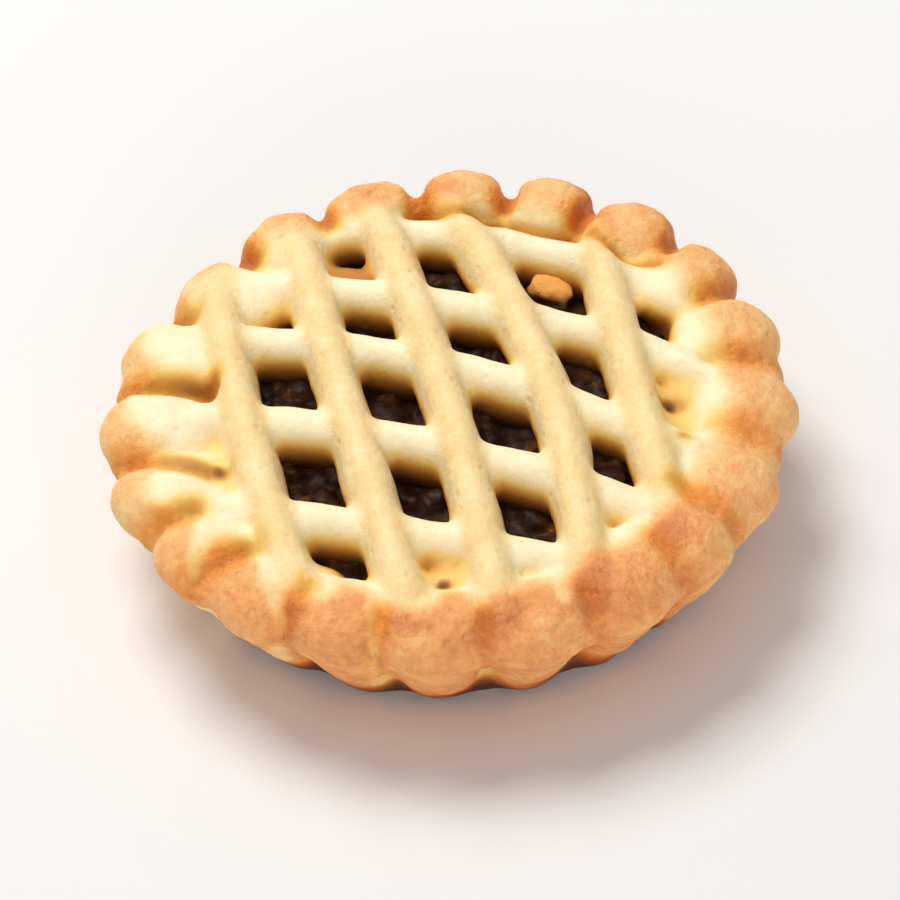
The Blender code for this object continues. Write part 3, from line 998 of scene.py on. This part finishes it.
# The mound is raised in rings, each a share of the radius broad, by these shares of its height.
MOUND_STEP = 0.25
MOUND_RISES = (0.44, 0.31, 0.19)
FRUIT_VOXEL = 0.42 * MM
FRUIT_MELT_ROUNDS = 2
# Raisins and currants: length, width and height, how many, and how far above the mound.
RAISIN_SIZE = (4.4 * MM, 2.9 * MM, 2.4 * MM)
RAISINS = 210
RAISIN_ABOVE = -0.3 * MM
CURRANT_SIZE = (2.0 * MM, 1.7 * MM, 1.5 * MM)
CURRANTS = 260
CURRANT_ABOVE = 0.1 * MM
FRUIT_PINCH = 0.3
# How near the fruits come to the wall, how unevenly they lie, in millimetres, and how far they
# tilt, in radians.
FRUIT_MARGIN = 2.4 * MM
FRUIT_UNEVEN = (-0.5, 0.4)
FRUIT_TILT = 0.4
WRINKLES = (1.0 * MM, 0.35 * MM)
# The bit of peel: place and direction in degrees, size, tilt, and how far above the mound.
PEEL = [(12.2 * MM, 18.1 * MM, -32)]
PEEL_SIZE = (5.6 * MM, 3.8 * MM, 1.6 * MM)
PEEL_TILT = (0.2, 0.1)
PEEL_ABOVE = 1.35 * MM
PEEL_COLOUR = tone(238, 172, 92)
# The peel's colour: half the length of the line down its middle, how far from that line the
# colour ends, and from which height on it shows.
PEEL_HALF = 1.2 * MM
PEEL_EDGE = (1.5 * MM, 2.3 * MM)
PEEL_HEIGHTS = (13.0 * MM, 13.8 * MM)
# Colours from dark skins to lighter pulp, how many patches, wet spots and wrinkles go to a metre,
# and the roughness of wet and of dry skin.
FRUIT_STOPS = [
    (0.4, tone(34, 16, 4)),
    (0.56, tone(54, 29, 9)),
    (0.67, tone(84, 48, 15)),
    (0.76, tone(128, 82, 32)),
]
PATCHES_PER_METRE = 420
WET_SPOTS_PER_METRE = 600
WRINKLES_PER_METRE = 1400
WET_ROUGHNESS = 0.28
DRY_ROUGHNESS = 0.7
WRINKLE_DEPTH = 0.25 * MM


def mound(x, y):
    """Height of the filling at one place."""
    return FRUIT_EDGE + FRUIT_MOUND * (1 - (x * x + y * y) / FRUIT_RADIUS**2)


start_piece()
bpy.ops.mesh.primitive_circle_add(
    vertices=FRUIT_POINTS, radius=FRUIT_LOW_RADIUS, fill_type="NGON", location=(0, 0, FRUIT_LOW)
)
filling = bpy.context.active_object
bpy.ops.object.transform_apply(location=True, rotation=True, scale=True)
bpy.ops.object.mode_set(mode="EDIT")
bpy.ops.mesh.select_all(action="SELECT")
bpy.ops.mesh.extrude_region_move(
    TRANSFORM_OT_translate={"value": (0, 0, FRUIT_EDGE - FRUIT_LOW)}
)
bpy.ops.transform.resize(
    value=(FRUIT_RADIUS / FRUIT_LOW_RADIUS, FRUIT_RADIUS / FRUIT_LOW_RADIUS, 1),
    center_override=(0, 0, FRUIT_EDGE),
)
for rise in MOUND_RISES:
    bpy.ops.mesh.inset(thickness=MOUND_STEP * FRUIT_RADIUS)
    bpy.ops.transform.translate(value=(0, 0, FRUIT_MOUND * rise))
bpy.ops.mesh.select_all(action="SELECT")
bpy.ops.mesh.normals_make_consistent(inside=False)
bpy.ops.object.mode_set(mode="OBJECT")


def draw_fruit(name, long, wide, tall):
    """One soft dried fruit: a squashed ball with a pinched end."""
    start_piece()
    bpy.ops.mesh.primitive_ico_sphere_add(subdivisions=2, radius=0.5)
    fruit = bpy.context.active_object
    fruit.name = name
    fruit.scale = (long, wide, tall)
    bpy.ops.object.transform_apply(location=True, rotation=True, scale=True)
    for vertex in fruit.data.vertices:
        pinch = 1 - FRUIT_PINCH * max(0.0, vertex.co.x / long * 2)
        vertex.co.y *= pinch
        vertex.co.z *= pinch
    return fruit


fruit_draw = random.Random(24)
raisin = draw_fruit("raisin", *RAISIN_SIZE)
peel_bit = draw_fruit("peel_bit", *PEEL_SIZE)
currant = draw_fruit("currant", *CURRANT_SIZE)
fruit_parts = [filling]
for shape, count, above in ((raisin, RAISINS, RAISIN_ABOVE), (currant, CURRANTS, CURRANT_ABOVE)):
    for _ in range(count):
        away = (FRUIT_RADIUS - FRUIT_MARGIN) * math.sqrt(fruit_draw.random())
        turn = fruit_draw.uniform(0, 2 * math.pi)
        x, y = away * math.cos(turn), away * math.sin(turn)
        one = copy_shape(shape)
        one.location = (x, y, mound(x, y) + above + fruit_draw.uniform(*FRUIT_UNEVEN) * MM)
        one.rotation_euler = (
            fruit_draw.uniform(-FRUIT_TILT, FRUIT_TILT),
            fruit_draw.uniform(-FRUIT_TILT, FRUIT_TILT),
            fruit_draw.uniform(0, 2 * math.pi),
        )
        fruit_parts.append(one)
for x, y, turn in PEEL:
    one = copy_shape(peel_bit)
    one.location = (x, y, mound(x, y) + PEEL_ABOVE)
    one.rotation_euler = (*PEEL_TILT, math.radians(turn))
    fruit_parts.append(one)
for shape in (raisin, currant, peel_bit):
    bpy.data.objects.remove(shape, do_unlink=True)
fruit = fuse(fruit_parts, "sticky_fruit", FRUIT_VOXEL, FRUIT_MELT_ROUNDS)
roughen(fruit, "wrinkles", *WRINKLES)
peel_lines = []
for x, y, turn in PEEL:
    half = polar(math.radians(turn), PEEL_HALF)
    peel_lines.append([Vector((x, y, 0)) - half, Vector((x, y, 0)) + half])
fruit_points = points_of(fruit)
peel_away = away_from(peel_lines, fruit_points[:, :2])[0]
peel_share = 1 - ease(*PEEL_EDGE, peel_away)
keep_mask(fruit, "peel", peel_share * ease(*PEEL_HEIGHTS, fruit_points[:, 2]))
fruit.data.shade_smooth()

fruit_finish = bpy.data.materials.new("dark_fruit")
fruit_finish.use_nodes = True
nodes, links = fruit_finish.node_tree.nodes, fruit_finish.node_tree.links
shader = nodes["Principled BSDF"]
shader.inputs["Specular IOR Level"].default_value = 0.07
shader.inputs["Coat Weight"].default_value = 0.02
shader.inputs["Coat Roughness"].default_value = 0.2
place = nodes.new("ShaderNodeTexCoord")
kinds = nodes.new("ShaderNodeTexNoise")
kinds.inputs["Scale"].default_value = PATCHES_PER_METRE
kinds.inputs["Detail"].default_value = 4
links.new(place.outputs["Object"], kinds.inputs["Vector"])
peel = nodes.new("ShaderNodeAttribute")
peel.attribute_name = "peel"
peel_mix = nodes.new("ShaderNodeMix")
peel_mix.data_type = "RGBA"
peel_mix.inputs["B"].default_value = PEEL_COLOUR
links.new(peel.outputs["Fac"], peel_mix.inputs["Factor"])
links.new(colour_scale(nodes, links, FRUIT_STOPS, kinds.outputs["Fac"]), peel_mix.inputs["A"])
links.new(peel_mix.outputs["Result"], shader.inputs["Base Color"])
wet = nodes.new("ShaderNodeTexNoise")
wet.inputs["Scale"].default_value = WET_SPOTS_PER_METRE
links.new(place.outputs["Object"], wet.inputs["Vector"])
gloss = nodes.new("ShaderNodeMapRange")
gloss.inputs["To Min"].default_value = WET_ROUGHNESS
gloss.inputs["To Max"].default_value = DRY_ROUGHNESS
links.new(wet.outputs["Fac"], gloss.inputs["Value"])
links.new(gloss.outputs[0], shader.inputs["Roughness"])
wrinkle = nodes.new("ShaderNodeTexNoise")
wrinkle.inputs["Scale"].default_value = WRINKLES_PER_METRE
links.new(place.outputs["Object"], wrinkle.inputs["Vector"])
skin_bump = nodes.new("ShaderNodeBump")
skin_bump.inputs["Strength"].default_value = 0.5
skin_bump.inputs["Distance"].default_value = WRINKLE_DEPTH
links.new(wrinkle.outputs["Fac"], skin_bump.inputs["Height"])
links.new(skin_bump.outputs["Normal"], shader.inputs["Normal"])
fruit.data.materials.clear()
fruit.data.materials.append(fruit_finish)
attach(fruit, "root")
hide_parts("fruit_mince")


# Table, light and camera: a plain pale table top, one broad lamp above and behind, and a softer
# one in front. The camera looks down at the near side.
TABLE_SIZE = 4.0
TABLE_TOP = -0.02 * MM
# Each lamp: name, place, size and watts.
LAMPS = [
    ("main_light", (-0.25, 0.4, 0.75), 0.45, 6.2),
    ("front_light", (0.1, -0.75, 0.10), 0.6, 3.2),
]
LAMP_COLOUR = (1.0, 0.98, 0.95)
ROOM_LIGHT = 0.4
CAMERA_AT = Vector((0, -0.43707, 0.43296))
LOOK_AT = Vector((0, -0.0005, 0.0085))
CAMERA_LEAN = math.radians(3.543)
CAMERA_LENS = 229

start_piece()
bpy.ops.mesh.primitive_plane_add(size=TABLE_SIZE, location=(0, 0, TABLE_TOP))
table = bpy.context.active_object
table.name = "table_top"
table_finish = bpy.data.materials.new("pale_table")
table_finish.use_nodes = True
table_shader = table_finish.node_tree.nodes["Principled BSDF"]
table_shader.inputs["Base Color"].default_value = tone(236, 236, 236)
table_shader.inputs["Roughness"].default_value = 0.7
table.data.materials.append(table_finish)


def add_lamp(name, place, size, watts):
    """A square soft light that faces the pie."""
    start_piece()
    bpy.ops.object.light_add(type="AREA", location=place)
    lamp = bpy.context.active_object
    lamp.name = name
    lamp.data.shape = "SQUARE"
    lamp.data.size = size
    lamp.data.energy = watts
    lamp.data.color = LAMP_COLOUR
    lamp.rotation_euler = (-Vector(place)).to_track_quat("-Z", "Y").to_euler()


for lamp_values in LAMPS:
    add_lamp(*lamp_values)

sky = bpy.data.worlds.new("soft_room")
sky.use_nodes = True
glow = sky.node_tree.nodes["Background"]
glow.inputs["Color"].default_value = (1, 1, 1, 1)
glow.inputs["Strength"].default_value = ROOM_LIGHT
bpy.context.scene.world = sky
bpy.context.scene.view_settings.view_transform = "Standard"

start_piece()
bpy.ops.object.camera_add(location=CAMERA_AT)
camera = bpy.context.active_object
camera.name = "camera"
camera.data.lens = CAMERA_LENS
camera.data.sensor_width = 36
camera.data.clip_start = 0.01
facing = (LOOK_AT - CAMERA_AT).to_track_quat("-Z", "Y").to_matrix()
lean = facing @ Vector((0, 0, -1))
camera.rotation_euler = (Matrix.Rotation(CAMERA_LEAN, 3, lean) @ facing).to_euler()
bpy.context.scene.camera = camera
